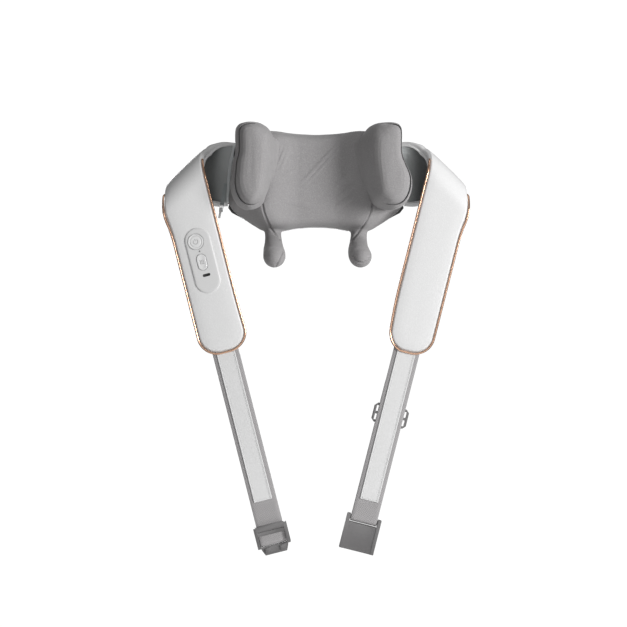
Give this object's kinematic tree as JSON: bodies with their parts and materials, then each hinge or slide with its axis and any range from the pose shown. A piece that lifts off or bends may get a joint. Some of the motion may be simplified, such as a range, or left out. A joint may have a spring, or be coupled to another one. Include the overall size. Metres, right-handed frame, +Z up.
{
  "type": "shiatsu neck massager",
  "caption": "Cordless neck massager: padded body with two kneading rolls and thumbs, shoulder straps that fold over, webbing tails with a buckle.",
  "frame": {"origin": "middle of the neck pad's front face, where the nape rests", "axes": "+Z up when worn, -Y out of the neck pad towards the wearer's neck, +X towards the right-hand strap as seen from the neck side"},
  "size_m": [0.4076, 0.1282, 0.5732],
  "materials": {
    "leatherette": "satin light grey synthetic leather",
    "knit": "fine knit, warm grey",
    "piping": "metallic rose-gold cord",
    "housing_plastic": "moulded, fine texture",
    "steel": "brushed",
    "acetal": "natural white",
    "battery": "shrink-wrapped cell",
    "board": "solder-masked circuit board",
    "film": "heating film",
    "zip_cloth": "woven black tape",
    "webbing": "twill webbing, grey-brown",
    "hook_strip": "hook-and-loop strip, light grey",
    "buckle_plastic": "satin dark grey",
    "panel_plastic": "satin light grey",
    "black_plastic": "black",
    "pull_plastic": "light grey rubber pull"
  },
  "bodies": {
    "body": {"back_cover": "leatherette", "back_shell": "housing_plastic", "front_shell": "housing_plastic", "neck_pad": "knit", "heating_film": "film", "motor_can": "steel", "gear_bracket": "steel", "battery_cell_lower": "battery", "battery_cell_upper": "battery", "battery_tray": "housing_plastic", "control_board": "board", "zip_tape": "zip_cloth", "left_shoulder_wing": "leatherette", "left_wing_piping": "piping", "left_pivot_pin": "steel", "left_wheel_shaft": "steel", "left_upper_screw": "steel", "left_lower_screw": "steel", "right_shoulder_wing": "leatherette", "right_wing_piping": "piping", "right_pivot_pin": "steel", "right_wheel_shaft": "steel", "right_upper_screw": "steel", "right_lower_screw": "steel"},
    "rotor": {"motor_rotor": "steel"},
    "left_crank": {"left_worm_wheel": "acetal"},
    "left_arm": {"left_kneading_arm": "steel", "left_arm_bush": "acetal", "left_roll_core": "housing_plastic", "left_roll_pad": "knit", "left_thumb_pad": "knit"},
    "right_crank": {"right_worm_wheel": "acetal"},
    "right_arm": {"right_kneading_arm": "steel", "right_arm_bush": "acetal", "right_roll_core": "housing_plastic", "right_roll_pad": "knit", "right_thumb_pad": "knit"},
    "left_strap": {"left_strap": "leatherette", "left_strap_piping": "piping", "control_panel": "panel_plastic", "button_board": "board", "usb_port": "black_plastic", "indicator_led": "panel_plastic"},
    "power_button": {"power_button": "panel_plastic"},
    "mode_button": {"mode_button": "panel_plastic"},
    "right_strap": {"right_strap": "leatherette", "right_strap_piping": "piping"},
    "left_tail": {"left_webbing": "webbing", "left_hook_strip": "hook_strip"},
    "right_tail": {"right_webbing": "webbing", "right_hook_strip": "hook_strip"},
    "strap_slider": {"strap_slider": "buckle_plastic"},
    "left_buckle": {"left_buckle_frame": "buckle_plastic", "left_buckle_bar": "buckle_plastic"},
    "right_buckle": {"right_buckle_sleeve": "buckle_plastic", "right_buckle_bar": "steel", "right_buckle_magnet": "steel"},
    "zip_slider": {"zip_slider": "steel"},
    "zip_pull": {"zip_pull": "pull_plastic"}
  },
  "joints": [
    {"name": "left_strap_fold", "type": "hinge", "parent": "body", "child": "left_strap", "pos_m": [-0.1715, -0.018, -0.0178], "axis": [-0.7193, 0, -0.6947], "range_deg": [0, 60], "stiffness_Nm_per_rad": 1.5},
    {"name": "right_strap_fold", "type": "hinge", "parent": "body", "child": "right_strap", "pos_m": [0.1715, -0.018, -0.0178], "axis": [-0.7193, 0, 0.6947], "range_deg": [0, 60], "stiffness_Nm_per_rad": 1.5},
    {"name": "left_tail_swing", "type": "hinge", "parent": "left_strap", "child": "left_tail", "pos_m": [-0.11852, -0.013, -0.22704], "axis": [0.9694, 0, 0.2453], "range_deg": [-60, 60]},
    {"name": "right_tail_swing", "type": "hinge", "parent": "right_strap", "child": "right_tail", "pos_m": [0.11852, -0.013, -0.22704], "axis": [0.9694, 0, -0.2453], "range_deg": [-60, 60]},
    {"name": "strap_slider_slide", "type": "slide", "parent": "right_tail", "child": "strap_slider", "axis": [0.2453, 0, 0.9694], "range_m": [-0.11, 0.028]},
    {"name": "left_buckle_swing", "type": "hinge", "parent": "left_tail", "child": "left_buckle", "pos_m": [-0.05666, -0.0073, -0.47153], "axis": [0.9694, 0, 0.2453], "range_deg": [0, 75]},
    {"name": "right_buckle_swing", "type": "hinge", "parent": "right_tail", "child": "right_buckle", "pos_m": [0.06323, -0.0089, -0.44555], "axis": [0.9694, 0, -0.2453], "range_deg": [-80, 80]},
    {"name": "power_press", "type": "slide", "parent": "left_strap", "child": "power_button", "axis": [0, 1, 0], "range_m": [0, 0.0008], "stiffness_N_per_m": 600, "springref_m": -0.0005},
    {"name": "mode_press", "type": "slide", "parent": "left_strap", "child": "mode_button", "axis": [0, 1, 0], "range_m": [0, 0.0008], "stiffness_N_per_m": 600, "springref_m": -0.0005},
    {"name": "rotor_spin", "type": "hinge", "parent": "body", "child": "rotor", "pos_m": [0, 0.044, -0.02], "axis": [1, 0, 0], "continuous": true},
    {"name": "left_crank_spin", "type": "hinge", "parent": "body", "child": "left_crank", "pos_m": [-0.046, 0.044, 0], "axis": [0, 1, 0], "continuous": true},
    {"name": "right_crank_spin", "type": "hinge", "parent": "body", "child": "right_crank", "pos_m": [0.046, 0.044, 0], "axis": [0, 1, 0], "continuous": true},
    {"name": "left_knead", "type": "hinge", "parent": "body", "child": "left_arm", "pos_m": [-0.086, 0.016, 0], "axis": [0, 1, 0], "range_deg": [-6, 6]},
    {"name": "right_knead", "type": "hinge", "parent": "body", "child": "right_arm", "pos_m": [0.086, 0.016, 0], "axis": [0, 1, 0], "range_deg": [-6, 6]},
    {"name": "zip_slide", "type": "slide", "parent": "body", "child": "zip_slider", "axis": [0.1305, 0, 0.9915], "range_m": [0, 0.026]},
    {"name": "zip_pull_swing", "type": "hinge", "parent": "zip_slider", "child": "zip_pull", "pos_m": [-0.12247, 0.0275, -0.01969], "axis": [-0.9915, 0, 0.1305], "range_deg": [0, 120]}
  ],
  "couplings": [
    {"joint": "left_crank_spin", "follows": "rotor_spin", "ratio": 0.033333},
    {"joint": "right_crank_spin", "follows": "rotor_spin", "ratio": -0.033333},
    {"joint": "right_knead", "follows": "left_knead", "ratio": -1}
  ]
}
